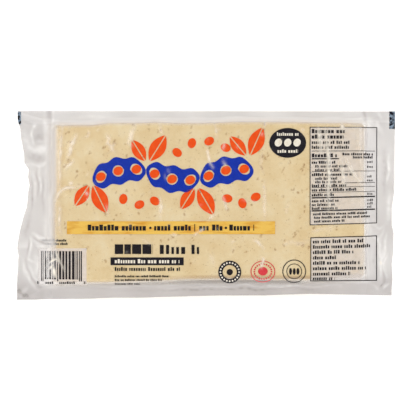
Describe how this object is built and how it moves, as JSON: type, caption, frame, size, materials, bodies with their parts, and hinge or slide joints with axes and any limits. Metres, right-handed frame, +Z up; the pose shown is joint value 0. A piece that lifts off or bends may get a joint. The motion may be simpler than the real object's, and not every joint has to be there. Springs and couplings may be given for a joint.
{
  "type": "vacuum packed tofu block",
  "caption": "Block of firm tofu in a clear vacuum pack with a sealed film rim, printed panels and a flat back to rest on.",
  "frame": {"origin": "under the middle of the pack's outline, on the flat back that it rests on", "axes": "+X along the pack's length, to the right of the printed face; +Y across it, towards the print's upper edge; +Z up, out of the printed face"},
  "size_m": [0.269, 0.1344, 0.048],
  "materials": {
    "tofu": "pressed soybean curd, cream, fine pits, moist under the film",
    "clear_film": "clear multilayer packing film, glossy, slightly hazy where two layers are sealed and creased",
    "blue_ink": "royal blue printing ink under gloss film",
    "orange_ink": "orange printing ink under gloss film",
    "yellow_ink": "yellow printing ink under gloss film, slightly see-through",
    "black_ink": "black printing ink under gloss film",
    "red_ink": "red printing ink under gloss film",
    "white_ink": "thin see-through white ink behind the printed panels"
  },
  "bodies": {
    "root": {"tofu_pack": "tofu"}
  },
  "joints": []
}
